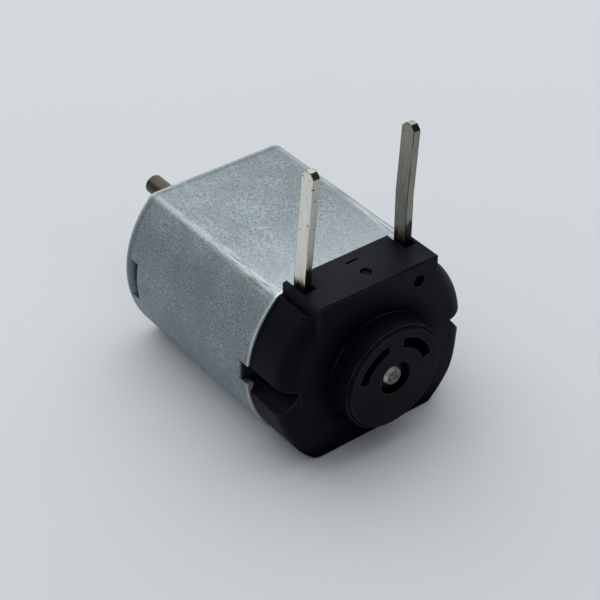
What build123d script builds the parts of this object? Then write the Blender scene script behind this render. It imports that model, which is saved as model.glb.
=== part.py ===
"""A small permanent-magnet DC motor: a flat-sided steel can, a moulded end cover and a three-pole rotor.

Millimetres. The shaft axis is Y: the output end points to +Y, the end cover to -Y, the terminals to +Z.
The origin is on the shaft axis, in the front mounting face of the can.
A depth is a distance behind that face.
"""

import os
from math import asin, cos, degrees, radians, sin, sqrt, tan

from build123d import *

os.makedirs("parts", exist_ok=True)

# Clearances, and how far a cut runs past what it cuts
seat_clearance = 0.02
running_clearance = 0.02
fit_clearance = 0.05
end_play = 0.08
overrun = 1.0

# Steel can
can_diameter = 21.0
can_flats = 15.5
can_length = 20.0
can_wall = 0.6
can_corner_radius = 1.0
can_front_radius = 0.8
pilot_diameter = 6.15
pilot_height = 1.5
pilot_edge_chamfer = 0.25
pilot_mouth_diameter = 3.2

# Lanced magnet stops in the flanks of the can
stop_height = 4.2
stop_front = 1.0
stop_length = 1.4
stop_sink = 0.9

# Staking tabs at the rear rim of the can
rim_notch_height = 1.95
rim_notch_depth = 1.4
tab_height = 1.7
tab_lift = 0.5
tab_length = 0.35
tab_sink = 1.3

# End cover
cover_spigot_length = 3.6
cover_rim_inset = 0.2
cover_flank_radius = 1.6
cover_wall = 1.3
cover_floor_depth = 3.4
slab_inset = 0.485
slab_length = 5.0
slab_edge_chamfer = 0.15
slab_foot_clearance = 0.1
block_height = 1.15
boss_diameter = 10.5
boss_length = 2.5
boss_step_width = 0.35
boss_step_height = 0.25
boss_mouth_diameter = 3.3
boss_lip = 1.0
arc_slot_inner_diameter = 6.2
arc_slot_outer_diameter = 8.2
arc_slot_start = 12.0
arc_slot_end = 76.0
notch_depth = 1.9
notch_root_height = 0.9
notch_upper_lip = 1.6
notch_lower_lip = 1.85
notch_play = 0.1
notch_wall = 0.85
mouth_width = 1.3
mouth_length = 2.5
mouth_depth = 0.8
pit_diameter = 1.2
pit_depth = 0.6
pit_inset = 2.2
pit_drop = 1.85
mark_length = 1.4
mark_width = 0.25
mark_depth = 0.2
mark_setback = 1.15
dot_diameter = 1.1
dot_setback = 3.1

# Terminals
terminal_thickness = 0.7
terminal_width = 1.55
terminal_wall_gap = 0.45
terminal_setback = 0.55
terminal_reach = 11.8
left_bend_height = 0.6
left_lean_angle = 4.0
right_bend_height = 4.9
right_lean_angle = 3.6
terminal_tip_chamfer = 0.45
shoulder_width = 2.4
shoulder_height = 1.5

# Shaft and bearings
shaft_diameter = 2.0
shaft_reach = 11.0
shaft_recess = 0.2
shaft_chamfer = 0.25
oil_groove_depth = 0.2
oil_groove_width = 0.8
bearing_length = 2.6
bearing_chamfer = 0.2

# Magnets and the spring clip between them
magnet_thickness = 2.9
magnet_rear_gap = 0.45
magnet_end_gap = 1.3
clip_wire = 0.7
clip_wall_gap = 0.45
clip_length = 9.0
clip_front_gap = 1.0
clip_bend_radius = 1.4

# Rotor core and windings
air_gap = 0.35
flat_gap = 0.55
stack_inset = 1.75
hub_share = 0.394
tooth_share = 0.182
shoe_share = 0.0833
slot_opening_share = 0.136
insulator_thickness = 0.5
insulator_overlap = 0.1
coil_build = 0.8
coil_hub_gap = 0.3
coil_shoe_gap = 0.1
coil_flare_share = 0.57
coil_overhang = 1.1
coil_corner_radius = 1.1

# Collar, thrust washers and commutator
washer_thickness = 0.4
washer_diameter = 3.8
collar_diameter = 4.0
neck_diameter = 3.8
flange_lip = 0.75
flange_thickness = 0.6
bar_outer_diameter = 4.5
bar_thickness = 0.6
bar_length = 5.0
bar_margin = 0.1
bar_gap = 0.4
riser_reach = 1.25
riser_width = 1.3
riser_thickness = 0.4
ring_wall = 0.75
ring_length = 0.8

# Brush gear
arm_thickness = 0.25
arm_width = 1.8
arm_pad = 1.8
arm_bend_radius = 0.6
arm_tail = 1.5
arm_tail_flare = 0.2
brush_width = 2.0
brush_thickness = 1.2

# Sizes that follow from the ones above
can_radius = can_diameter / 2
can_inner_diameter = can_diameter - 2 * can_wall
can_inner_flats = can_flats - 2 * can_wall
can_inner_corner = can_corner_radius - can_wall
shaft_radius = shaft_diameter / 2
bearing_seat_diameter = pilot_diameter - 2 * can_wall
bearing_diameter = bearing_seat_diameter - 2 * seat_clearance
front_bearing_face = can_wall - pilot_height
slab_rear = can_length + slab_length
boss_face = slab_rear + boss_length
block_top = can_flats / 2 + block_height
slab_foot = slab_foot_clearance - can_flats / 2
slab_width = sqrt(can_diameter**2 - can_flats**2) - 2 * slab_inset
cover_front = can_length - cover_spigot_length
cover_floor = can_length + cover_floor_depth
cover_diameter = can_inner_diameter - 2 * fit_clearance
cover_flats = can_inner_flats - 2 * fit_clearance
flank_diameter = can_diameter - 2 * cover_rim_inset
flank_flats = can_flats - 2 * slab_foot_clearance
notch_floor = flank_diameter / 2 - notch_depth
tab_pocket_height = tab_height + 2 * notch_play
tab_pocket_middle = (notch_floor + can_radius) / 2
cavity_flats = can_inner_flats - 2 * cover_wall
cavity_diameter = can_inner_diameter - 2 * cover_wall
cavity_width = 2 * (notch_floor - notch_wall)
cavity_roof = cavity_flats / 2
rear_bearing_face = boss_face - boss_lip - bearing_length
shaft_front = -shaft_reach
shaft_rear = boss_face - shaft_recess
stop_edge = stop_front + stop_length
magnet_front = stop_edge + fit_clearance
magnet_length = cover_front - magnet_rear_gap - magnet_front
magnet_outer_radius = can_inner_diameter / 2 - fit_clearance
magnet_bore = 2 * (magnet_outer_radius - magnet_thickness)
magnet_half_angle = degrees(asin((can_inner_flats / 2 - magnet_end_gap) / magnet_outer_radius))
rotor_diameter = min(magnet_bore - 2 * air_gap, can_inner_flats - 2 * flat_gap)
magnet_inner_diameter = rotor_diameter + 2 * air_gap
tab_root = can_length - rim_notch_depth
tab_bend = tab_root + can_wall / 2
tab_radius = can_radius - can_wall / 2
front_washer_face = front_bearing_face + bearing_length + end_play
rear_washer_face = rear_bearing_face - end_play - washer_thickness
stack_front = magnet_front + stack_inset
stack_length = magnet_length - 2 * stack_inset
stack_rear = stack_front + stack_length
hub_diameter = hub_share * rotor_diameter
tooth_width = tooth_share * rotor_diameter
shoe_thickness = shoe_share * rotor_diameter
slot_opening = slot_opening_share * rotor_diameter
shoe_inner_diameter = rotor_diameter - 2 * shoe_thickness
terminal_front = can_length + terminal_setback
terminal_mid = terminal_front + terminal_width / 2
terminal_outer_face = sqrt((cavity_diameter / 2) ** 2 - cavity_roof**2) - terminal_wall_gap
terminal_side = terminal_outer_face - terminal_thickness / 2
terminal_inner_face = terminal_outer_face - terminal_thickness
brush_front = terminal_mid - brush_width / 2
core_front = stack_rear + insulator_thickness
bar_front = brush_front + brush_width + bar_margin - bar_length
flange_front = bar_front - flange_thickness
bar_inner_diameter = bar_outer_diameter - 2 * bar_thickness
flange_diameter = bar_outer_diameter + 2 * flange_lip
ring_diameter = bar_outer_diameter + 2 * ring_wall
riser_diameter = bar_outer_diameter + 2 * riser_reach
commutator_radius = bar_outer_diameter / 2 + fit_clearance
arm_inner_face = commutator_radius + brush_thickness

# Radius to the right and depth downwards, for profiles that turn about the shaft axis
profile_plane = Plane(origin=(0, 0, 0), x_dir=(1, 0, 0), z_dir=(0, 0, -1))


def at_depth(depth):
    """Cross-section plane this far behind the mounting face, with X to the right and Z up."""
    return Plane.XZ.offset(depth)


def double_d(diameter, flats, corner):
    """Sketch a circle cut by two flats, with the four corners rounded."""
    Circle(diameter / 2)
    Rectangle(diameter, flats, mode=Mode.INTERSECT)
    fillet(vertices(), radius=corner)


def tube(inner_radius, outer_radius, front, length):
    """Extrude a plain ring about the shaft axis."""
    with BuildSketch(at_depth(front)) as ring:
        Circle(outer_radius)
        Circle(inner_radius, mode=Mode.SUBTRACT)
    extrude(ring.sketch, amount=length)


def save(piece, name):
    """Label a finished piece and write it out."""
    piece.part.label = name
    export_step(piece.part, f"parts/{name}.step")


# Sheet pushed inwards at each magnet stop, and the ramp that it leaves in the wall
with BuildPart() as stop_sheet:
    with BuildSketch(profile_plane):
        Polygon(
            (can_radius, stop_front),
            (can_radius - stop_sink, stop_edge),
            (can_radius - stop_sink - can_wall, stop_edge),
            (can_radius - can_wall, stop_front),
            align=None,
        )
    revolve(axis=Axis.Y)
    with BuildSketch(at_depth(stop_front)):
        Rectangle(can_diameter, stop_height)
    extrude(amount=stop_length, mode=Mode.INTERSECT)

with BuildPart() as stop_ramp:
    with BuildSketch(profile_plane):
        Polygon(
            (can_radius, stop_front),
            (can_radius - stop_sink, stop_edge),
            (can_radius + overrun, stop_edge),
            (can_radius + overrun, stop_front),
            align=None,
        )
    revolve(axis=Axis.Y)
    with BuildSketch(at_depth(stop_front)):
        Rectangle(can_diameter + 2 * overrun, stop_height)
    extrude(amount=stop_length, mode=Mode.INTERSECT)

# Tabs of the rear rim, bent inwards to stake the end cover
with BuildPart() as staking_tabs:
    with BuildSketch(profile_plane):
        with BuildLine():
            Polyline(
                (tab_radius, tab_root),
                (tab_radius, tab_bend),
                (tab_radius - tab_sink, tab_bend + tab_length),
            )
        trace(line_width=can_wall)
    revolve(axis=Axis.Y)
    with BuildSketch(at_depth(tab_root)):
        with Locations((0, tab_lift)):
            Rectangle(can_diameter, tab_height)
    extrude(amount=tab_length + 2 * can_wall, mode=Mode.INTERSECT)

# Deep-drawn can: two flats, two flanks, a closed front with the bearing boss
with BuildPart() as housing_can:
    with BuildSketch(at_depth(0)):
        double_d(can_diameter, can_flats, can_corner_radius)
    extrude(amount=can_length)
    fillet(faces().sort_by(Axis.Y)[-1].edges(), radius=can_front_radius)
    with BuildSketch(at_depth(-pilot_height)):
        Circle(pilot_diameter / 2)
    extrude(amount=pilot_height + can_wall)
    chamfer(faces().sort_by(Axis.Y)[-1].edges(), length=pilot_edge_chamfer)
    with BuildSketch(at_depth(can_wall)):
        double_d(can_inner_diameter, can_inner_flats, can_inner_corner)
    extrude(amount=can_length, mode=Mode.SUBTRACT)
    with BuildSketch(at_depth(front_bearing_face)):
        Circle(bearing_seat_diameter / 2)
    extrude(amount=pilot_height + overrun, mode=Mode.SUBTRACT)
    with BuildSketch(at_depth(-pilot_height - overrun)):
        Circle(pilot_mouth_diameter / 2)
    extrude(amount=pilot_height + overrun, mode=Mode.SUBTRACT)
    add(stop_ramp.part, mode=Mode.SUBTRACT)
    add(stop_sheet.part)
    with BuildSketch(at_depth(tab_root)):
        with Locations((0, tab_lift)):
            Rectangle(can_diameter + 2 * overrun, rim_notch_height)
    extrude(amount=rim_notch_depth + overrun, mode=Mode.SUBTRACT)
    add(staking_tabs.part)
save(housing_can, "housing_can")

# Sintered bearings, alike at both ends
for name, face in (("front_bearing", front_bearing_face), ("rear_bearing", rear_bearing_face)):
    with BuildPart() as bearing:
        tube(shaft_radius + running_clearance, bearing_diameter / 2, face, bearing_length)
        chamfer(edges().filter_by(GeomType.CIRCLE).group_by(SortBy.RADIUS)[-1], length=bearing_chamfer)
    save(bearing, name)

# Arc magnets, seated on the flanks behind the stops
wedge_half_height = can_diameter * sin(radians(magnet_half_angle))
wedge_reach = can_diameter * cos(radians(magnet_half_angle))
for name, side in (("magnet_left", -1), ("magnet_right", 1)):
    with BuildPart() as magnet:
        with BuildSketch(at_depth(magnet_front)):
            Circle(magnet_outer_radius)
            Circle(magnet_inner_diameter / 2, mode=Mode.SUBTRACT)
            Polygon(
                (0, 0),
                (side * wedge_reach, wedge_half_height),
                (side * wedge_reach, -wedge_half_height),
                align=None,
                mode=Mode.INTERSECT,
            )
        extrude(amount=magnet_length)
    save(magnet, name)

# Hairpin of spring wire on the lower flat, its legs against the lower ends of the magnets
clip_radius = can_inner_diameter / 2 - clip_wall_gap - clip_wire / 2
clip_angle = radians(magnet_half_angle) + asin((clip_wire / 2 + fit_clearance) / clip_radius)
clip_level = -clip_radius * sin(clip_angle)
clip_side = clip_radius * cos(clip_angle)
clip_front = magnet_front + clip_front_gap
with BuildPart() as magnet_clip:
    with BuildLine(Plane.XY.offset(clip_level)) as clip_path:
        FilletPolyline(
            (-clip_side, -clip_front - clip_length),
            (-clip_side, -clip_front),
            (clip_side, -clip_front),
            (clip_side, -clip_front - clip_length),
            radius=clip_bend_radius,
        )
    with BuildSketch(Plane(origin=clip_path.line @ 0, z_dir=clip_path.line % 0)):
        Circle(clip_wire / 2)
    sweep(path=clip_path.line)
save(magnet_clip, "magnet_clip")

# Slab across the rear of the end cover, standing up above the can as the terminal block
slab_height = block_top - slab_foot
slab_middle = (block_top + slab_foot) / 2
with BuildPart() as slab:
    with BuildSketch(at_depth(can_length)):
        with Locations((0, slab_middle)):
            Rectangle(slab_width, slab_height)
    extrude(amount=slab_length)
    block_edges = faces().sort_by(Axis.Z)[-1].edges().filter_by(Axis.Y)
    chamfer(faces().sort_by(Axis.Y)[0].edges() + block_edges, length=slab_edge_chamfer)

# Moulded end cover: spigot in the can, round flanks against its rim, the slab, and the bearing boss
arc_slot_radius = (arc_slot_inner_diameter + arc_slot_outer_diameter) / 4
arc_slot_width = (arc_slot_outer_diameter - arc_slot_inner_diameter) / 2
with BuildPart() as end_cover:
    with BuildSketch(at_depth(can_length)):
        Circle(flank_diameter / 2)
    extrude(amount=slab_length)
    fillet(faces().sort_by(Axis.Y)[0].edges(), radius=cover_flank_radius)
    with BuildSketch(at_depth(can_length)):
        Rectangle(flank_diameter, flank_flats)
    extrude(amount=slab_length, mode=Mode.INTERSECT)
    with BuildSketch(at_depth(cover_front)):
        double_d(cover_diameter, cover_flats, can_inner_corner)
    extrude(amount=cover_spigot_length)
    add(slab.part)
    with BuildSketch(at_depth(cover_front)):
        Circle(cavity_diameter / 2)
        Rectangle(cavity_width, cavity_flats, mode=Mode.INTERSECT)
    extrude(amount=cover_spigot_length + cover_floor_depth, mode=Mode.SUBTRACT)
    with BuildSketch(at_depth(slab_rear)):
        Circle(boss_diameter / 2)
    extrude(amount=boss_length - boss_step_height)
    with BuildSketch(at_depth(boss_face - boss_step_height)):
        Circle(boss_diameter / 2 - boss_step_width)
    extrude(amount=boss_step_height)
    with BuildSketch(at_depth(cover_floor)):
        Circle(bearing_seat_diameter / 2)
    extrude(amount=rear_bearing_face + bearing_length - cover_floor, mode=Mode.SUBTRACT)
    with BuildSketch(at_depth(boss_face - boss_lip)):
        Circle(boss_mouth_diameter / 2)
    extrude(amount=boss_lip + overrun, mode=Mode.SUBTRACT)
    with BuildSketch(at_depth(cover_floor)):
        for start in (90 + arc_slot_start, 90 - arc_slot_end):
            with BuildLine():
                slot_line = CenterArc((0, 0), arc_slot_radius, start, arc_slot_end - arc_slot_start)
            trace(slot_line, line_width=arc_slot_width)
    extrude(amount=boss_face - cover_floor + overrun, mode=Mode.SUBTRACT)
    with BuildSketch(at_depth(can_length)):
        for side in (-1, 1):
            Polygon(
                (side * notch_floor, notch_root_height),
                (side * can_radius, -notch_lower_lip),
                (side * can_radius, notch_upper_lip),
                align=None,
            )
    extrude(amount=slab_length, mode=Mode.SUBTRACT)
    with BuildSketch(at_depth(tab_root)):
        with Locations((-tab_pocket_middle, tab_lift), (tab_pocket_middle, tab_lift)):
            Rectangle(can_radius - notch_floor, tab_pocket_height)
    extrude(amount=can_length - tab_root, mode=Mode.SUBTRACT)
    with BuildSketch(Plane.XY.offset(cavity_roof)):
        with Locations((-terminal_side, -terminal_mid), (terminal_side, -terminal_mid)):
            Rectangle(terminal_thickness + 2 * seat_clearance, terminal_width + 2 * seat_clearance)
    extrude(amount=block_top - cavity_roof, mode=Mode.SUBTRACT)
    with BuildSketch(Plane.XY.offset(block_top - mouth_depth)):
        with Locations(
            (-terminal_side, -can_length - mouth_length / 2),
            (terminal_side, -can_length - mouth_length / 2),
        ):
            Rectangle(mouth_width, mouth_length)
    extrude(amount=mouth_depth + overrun, mode=Mode.SUBTRACT)
    with BuildSketch(at_depth(slab_rear - pit_depth)):
        with Locations((slab_width / 2 - pit_inset, block_top - pit_drop)):
            Circle(pit_diameter / 2)
    extrude(amount=pit_depth + overrun, mode=Mode.SUBTRACT)
    with BuildSketch(Plane.XY.offset(block_top - mark_depth)):
        with Locations((0, -can_length - mark_setback)):
            Rectangle(mark_length, mark_width)
        with Locations((0, -can_length - dot_setback)):
            Circle(dot_diameter / 2)
    extrude(amount=mark_depth + overrun, mode=Mode.SUBTRACT)
save(end_cover, "end_cover")

# Flat terminals, each with a shoulder under the roof of the cover; both lean to the right above a bend
terminal_top = block_top + terminal_reach
shoulder_top = cavity_roof - fit_clearance
shoulder_foot = shoulder_top - shoulder_height
for name, side, bend_height, lean in (
    ("terminal_left", -1, left_bend_height, left_lean_angle),
    ("terminal_right", 1, right_bend_height, right_lean_angle),
):
    bend = block_top + bend_height
    shift = (terminal_top - bend) * tan(radians(lean))
    with BuildPart() as terminal:
        with BuildSketch(at_depth(terminal_front)):
            with BuildLine():
                Polyline(
                    (side * terminal_side, shoulder_foot),
                    (side * terminal_side, bend),
                    (side * terminal_side + shift, terminal_top),
                )
            trace(line_width=terminal_thickness)
        extrude(amount=terminal_width)
        tip = faces().sort_by(Axis.Z)[-1].edges().sort_by(SortBy.LENGTH)[0:2]
        chamfer(tip, length=terminal_tip_chamfer)
        with BuildSketch(at_depth(terminal_mid - shoulder_width / 2)):
            with Locations((side * terminal_side, (shoulder_top + shoulder_foot) / 2)):
                Rectangle(terminal_thickness, shoulder_height)
        extrude(amount=shoulder_width)
    save(terminal, name)

# Leaf-spring brush arms on the inner faces of the terminals, and the carbon brushes that they press in
arm_line = arm_inner_face + arm_thickness / 2
arm_root = terminal_inner_face - arm_thickness / 2
arm_front = terminal_mid - arm_width / 2
for name, side in (("left", -1), ("right", 1)):
    with BuildPart() as arm:
        with BuildSketch(at_depth(arm_front)):
            with BuildLine():
                FilletPolyline(
                    (side * arm_root, shoulder_top),
                    (side * arm_root, shoulder_foot),
                    (side * arm_line, arm_pad / 2),
                    (side * arm_line, -arm_pad / 2),
                    (side * (arm_line + arm_tail_flare), -arm_pad / 2 - arm_tail),
                    radius=arm_bend_radius,
                )
            trace(line_width=arm_thickness)
        extrude(amount=arm_width)
    save(arm, f"brush_arm_{name}")
    with BuildPart() as brush:
        with BuildSketch(at_depth(brush_front)):
            with Locations((side * arm_inner_face / 2, 0)):
                Rectangle(arm_inner_face, arm_pad)
            Circle(commutator_radius, mode=Mode.SUBTRACT)
        extrude(amount=brush_width)
    save(brush, f"carbon_brush_{name}")

# Shaft with a chamfer at each end and an oil groove at the mouth of the front bearing
groove_front = front_bearing_face - fit_clearance
with BuildPart() as rotor_shaft:
    with BuildSketch(at_depth(shaft_front)):
        Circle(shaft_radius)
    extrude(amount=shaft_rear - shaft_front)
    chamfer(edges().filter_by(GeomType.CIRCLE), length=shaft_chamfer)
    with BuildSketch(at_depth(groove_front)):
        Circle(shaft_radius + overrun)
        Circle(shaft_radius - oil_groove_depth, mode=Mode.SUBTRACT)
    extrude(amount=oil_groove_width, mode=Mode.SUBTRACT)
save(rotor_shaft, "rotor_shaft")

# Three-pole core, pressed together from thin sheets and handled as one stack
shaft_fit_radius = shaft_radius + seat_clearance
tooth_length = (shoe_inner_diameter + shoe_thickness) / 2
with BuildPart() as rotor_laminations:
    with BuildSketch(at_depth(stack_front)):
        Circle(rotor_diameter / 2)
        Circle(shoe_inner_diameter / 2, mode=Mode.SUBTRACT)
        with PolarLocations(rotor_diameter / 2, 3, start_angle=30):
            Rectangle(rotor_diameter / 2, slot_opening, mode=Mode.SUBTRACT)
        Circle(hub_diameter / 2)
        with PolarLocations(tooth_length / 2, 3, start_angle=90):
            Rectangle(tooth_length, tooth_width)
        Circle(shaft_fit_radius, mode=Mode.SUBTRACT)
    extrude(amount=stack_length)
save(rotor_laminations, "rotor_laminations")

# Fibre wafers that keep the wire off the ends of the core
coil_outer_width = tooth_width + 2 * coil_build
coil_reach = shoe_inner_diameter / 2 - coil_shoe_gap
coil_outer_radius = sqrt(coil_reach**2 - (coil_outer_width / 2) ** 2)
coil_inner_radius = hub_diameter / 2 + coil_hub_gap
coil_flare = coil_flare_share * (coil_outer_radius - coil_inner_radius)
coil_inner_width = coil_outer_width + 2 * coil_flare
for name, front in (("front_insulator", stack_front - insulator_thickness), ("rear_insulator", stack_rear)):
    with BuildPart() as wafer:
        with BuildSketch(at_depth(front)):
            Circle(hub_diameter / 2)
            with PolarLocations(coil_outer_radius / 2, 3, start_angle=90):
                Rectangle(coil_outer_radius, tooth_width + insulator_overlap)
            Circle(shaft_fit_radius, mode=Mode.SUBTRACT)
        extrude(amount=insulator_thickness)
    save(wafer, name)

# One winding round the neck of each pole
wound_length = stack_length + 2 * insulator_thickness
coil_opening = tooth_width + insulator_overlap + 2 * fit_clearance
coil_length = wound_length + 2 * coil_overhang
stack_middle = stack_front + stack_length / 2
for number, angle in ((1, 90), (2, 210), (3, 330)):
    outward = Vector(cos(radians(angle)), 0, sin(radians(angle)))
    pole_plane = Plane(origin=(0, -stack_middle, 0), x_dir=(0, -1, 0), z_dir=outward)
    with BuildPart() as coil:
        with BuildSketch(pole_plane.offset(coil_inner_radius)):
            RectangleRounded(coil_length, coil_inner_width, coil_corner_radius)
        with BuildSketch(pole_plane.offset(coil_outer_radius)):
            RectangleRounded(coil_length, coil_outer_width, coil_corner_radius)
        loft()
        with BuildSketch(pole_plane.offset(coil_inner_radius)):
            Rectangle(wound_length + 2 * fit_clearance, coil_opening)
        extrude(amount=coil_outer_radius - coil_inner_radius, mode=Mode.SUBTRACT)
    save(coil, f"coil_{number}")

# Spacer between the core and the front bearing, and the thrust washers at both bearings
collar_front = front_washer_face + washer_thickness
collar_length = stack_front - insulator_thickness - collar_front
with BuildPart() as shaft_collar:
    tube(shaft_fit_radius, collar_diameter / 2, collar_front, collar_length)
save(shaft_collar, "shaft_collar")

for name, face in (("front_thrust_washer", front_washer_face), ("rear_thrust_washer", rear_washer_face)):
    with BuildPart() as washer:
        tube(shaft_fit_radius, washer_diameter / 2, face, washer_thickness)
    save(washer, name)

# Commutator: moulded sleeve with a flange, three copper bars with risers, and a clamping ring
with BuildPart() as commutator_core:
    tube(shaft_fit_radius, neck_diameter / 2, core_front, flange_front - core_front)
    tube(shaft_fit_radius, flange_diameter / 2, flange_front, flange_thickness)
    sleeve_radius = bar_inner_diameter / 2 - seat_clearance
    tube(shaft_fit_radius, sleeve_radius, bar_front, rear_washer_face - bar_front)
save(commutator_core, "commutator_core")

with BuildPart() as commutator_segments:
    with BuildSketch(at_depth(bar_front)):
        with PolarLocations(riser_diameter / 4, 3, start_angle=90):
            Rectangle(riser_diameter / 2, riser_width)
        Circle(bar_outer_diameter / 2)
        Circle(bar_inner_diameter / 2, mode=Mode.SUBTRACT)
    extrude(amount=riser_thickness)
    tube(bar_inner_diameter / 2, bar_outer_diameter / 2, bar_front, bar_length)
    with BuildSketch(at_depth(bar_front)):
        with PolarLocations(bar_outer_diameter / 2, 3, start_angle=30):
            Rectangle(bar_outer_diameter, bar_gap)
    extrude(amount=bar_length, mode=Mode.SUBTRACT)
save(commutator_segments, "commutator_segments")

with BuildPart() as commutator_ring:
    ring_front = bar_front + riser_thickness
    tube(bar_outer_diameter / 2 + seat_clearance, ring_diameter / 2, ring_front, ring_length)
save(commutator_ring, "commutator_ring")
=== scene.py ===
"""Looks of a small can-type DC motor, lying on its lower flat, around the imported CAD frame. Metres."""

import bmesh
import bpy
import numpy as np
from mathutils import Matrix, Vector


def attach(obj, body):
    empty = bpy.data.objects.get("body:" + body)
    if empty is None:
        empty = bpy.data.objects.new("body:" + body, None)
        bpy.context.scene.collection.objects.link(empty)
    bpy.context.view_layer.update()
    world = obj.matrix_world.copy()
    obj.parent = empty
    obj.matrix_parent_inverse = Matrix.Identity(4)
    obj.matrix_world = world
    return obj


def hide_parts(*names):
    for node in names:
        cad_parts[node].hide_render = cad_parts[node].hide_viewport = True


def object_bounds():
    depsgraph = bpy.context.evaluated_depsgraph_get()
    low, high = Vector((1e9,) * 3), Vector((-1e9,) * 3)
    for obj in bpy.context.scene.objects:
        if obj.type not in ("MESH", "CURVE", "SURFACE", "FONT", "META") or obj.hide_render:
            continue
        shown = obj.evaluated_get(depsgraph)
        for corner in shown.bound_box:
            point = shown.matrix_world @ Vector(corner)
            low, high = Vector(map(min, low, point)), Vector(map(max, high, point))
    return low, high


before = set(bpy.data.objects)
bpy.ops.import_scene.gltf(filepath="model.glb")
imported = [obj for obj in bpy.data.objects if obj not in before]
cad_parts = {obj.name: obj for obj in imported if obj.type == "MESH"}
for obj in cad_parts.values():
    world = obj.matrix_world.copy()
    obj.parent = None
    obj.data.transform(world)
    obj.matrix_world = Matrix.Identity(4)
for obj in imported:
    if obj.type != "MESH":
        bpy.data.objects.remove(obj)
cad_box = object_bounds()

# Housing can: a cup deep-drawn from zinc-plated steel strip, which is also the motor's iron path.
# The press leaves lines along the four corners and a sheared rim at the rear.
# Two stops are lanced inwards near the front, and two staking tabs are bent inwards at the rim.
mm = 0.001
can_radius = 10.5 * mm
can_half_height = 7.75 * mm
can_rear = -20.0 * mm
front_bend = 0.8 * mm
stop_half_height = 2.1 * mm
stop_edge = -2.4 * mm
tab_lift = 0.5 * mm
tab_half_height = 0.9 * mm
tab_root = -18.75 * mm


def linear(hex_code):
    """Linear RGBA of an sRGB hex colour: c / 12.92 in the toe, ((c + 0.055) / 1.055) ** 2.4 above it."""
    srgb = np.array([int(hex_code[i : i + 2], 16) for i in (1, 3, 5)]) / 255
    return (*np.where(srgb > 0.04045, ((srgb + 0.055) / 1.055) ** 2.4, srgb / 12.92), 1.0)


def add(tree, kind, feeds, **settings):
    """Add a node to a tree: settings are its properties, feeds its inputs, by name or number.

    A feed is a value, a node's output, or a node, which then gives its first output in use.
    A Map Range's inputs 1 and 2 are the range it reads, 3 and 4 the range it gives, 0 to 1 if not fed.
    A Mix goes from input 6 to 7 in colours, and from 2 to 3 in numbers.
    """
    made = tree.nodes.new("ShaderNode" + kind)
    for name, value in settings.items():
        setattr(made, name, value)
    for socket, feed in feeds.items():
        if isinstance(feed, bpy.types.Node):
            feed = next(output for output in feed.outputs if output.enabled)
        if isinstance(feed, bpy.types.NodeSocket):
            tree.links.new(feed, made.inputs[socket])
        else:
            made.inputs[socket].default_value = feed
    return made


def start_finish(name):
    """Make an empty material and return it, its node tree and the output of its Object coordinates."""
    made = bpy.data.materials.new(name)
    made.use_nodes = True
    made.node_tree.nodes.clear()
    return made, made.node_tree, add(made.node_tree, "TexCoord", {}).outputs["Object"]


def dress(material, *names):
    """Put a material on the named CAD nodes."""
    for name in names:
        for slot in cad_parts[name].material_slots:
            slot.material = material


# Zinc plate over drawn steel: matt mid grey with a fine crystal grain, cloudy at arm's length, and darkened
# to the right by painted shade. Along the corners it is rubbed brighter, partly a painted highlight; painted
# highlights lie on the rear of the flats, the front bend and the sheared rim. Painted shade darkens the
# stops, the tabs and a line behind the bend.
zinc_plate, tree, place = start_finish("zinc_plated_steel")
grain_size = 0.16 * mm  # the real crystals are finer, and would not show
cloud_size = 3.5 * mm
scratch_width = 0.12 * mm
scratch_length = 1.4 * mm
draw_line_width = 0.2 * mm
draw_line_length = 3.2 * mm
draw_line_depth = 2.5  # in depths of the grain
grain = add(tree, "TexNoise", {"Vector": place, "Scale": 1 / grain_size, "Detail": 4.0, "Roughness": 0.7})
cloud = add(tree, "TexNoise", {"Vector": place, "Scale": 1 / cloud_size, "Detail": 3.0})
along_draw = {"Vector": place, "Scale": (1 / draw_line_width, 1 / draw_line_length, 1 / draw_line_width)}
draw_place = add(tree, "Mapping", along_draw)
draw_lines = add(tree, "TexNoise", {"Vector": draw_place, "Scale": 1.0, "Detail": 2.0})
along_scratch = {"Vector": place, "Scale": (1 / scratch_width, 1 / scratch_length, 1 / scratch_width)}
scratch_place = add(tree, "Mapping", along_scratch)
scratches = add(tree, "TexNoise", {"Vector": scratch_place, "Scale": 1.0, "Detail": 1.0})
scratch_mask = add(tree, "MapRange", {0: scratches, 1: 0.7, 2: 0.86, 4: 0.7})

# The corner mask is |x| and |z| along the corner's outward direction, greatest on the corner's arc.
# It widens to the rear, where the draw lines are deepest.
corner_edge, corner_core = 0.14 * mm, 0.06 * mm
lined_width = 0.28 * mm
lined_start, lined_end = 0.3 * can_rear, 0.95 * can_rear
corner = np.array([np.sqrt(can_radius**2 - can_half_height**2), can_half_height])
outward = corner / can_radius + np.array([0.0, 1.0])
outward = outward / np.linalg.norm(outward)
corner_reach = float(corner @ outward)
axes = add(tree, "SeparateXYZ", {0: place})
aside = add(tree, "Math", {0: axes.outputs[0]}, operation="ABSOLUTE")
upward = add(tree, "Math", {0: axes.outputs[2]}, operation="ABSOLUTE")
side_share = add(tree, "Math", {0: aside, 1: float(outward[0])}, operation="MULTIPLY")
reach = add(tree, "Math", {0: upward, 1: float(outward[1]), 2: side_share}, operation="MULTIPLY_ADD")
lined_share = add(tree, "MapRange", {0: axes.outputs[1], 1: lined_start, 2: lined_end, 3: 0.1})
low_feeds = {0: lined_share, 1: -lined_width, 2: corner_reach - corner_edge}
low_reach = add(tree, "Math", low_feeds, operation="MULTIPLY_ADD")
corner_mask = add(tree, "MapRange", {0: reach, 1: low_reach, 2: corner_reach - corner_core})
rubbed = add(tree, "MapRange", {0: draw_lines, 1: 0.42, 2: 0.62})
lined_corner = add(tree, "Mix", {0: lined_share, 2: 0.5, 3: rubbed}, data_type="FLOAT")
# The corners are rubbed brighter with draw lines to the rear, and carry a solid painted highlight towards the
# front.
rubbed_and_highlit_corner = add(tree, "Math", {0: corner_mask, 1: lined_corner}, operation="MULTIPLY")
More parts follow.
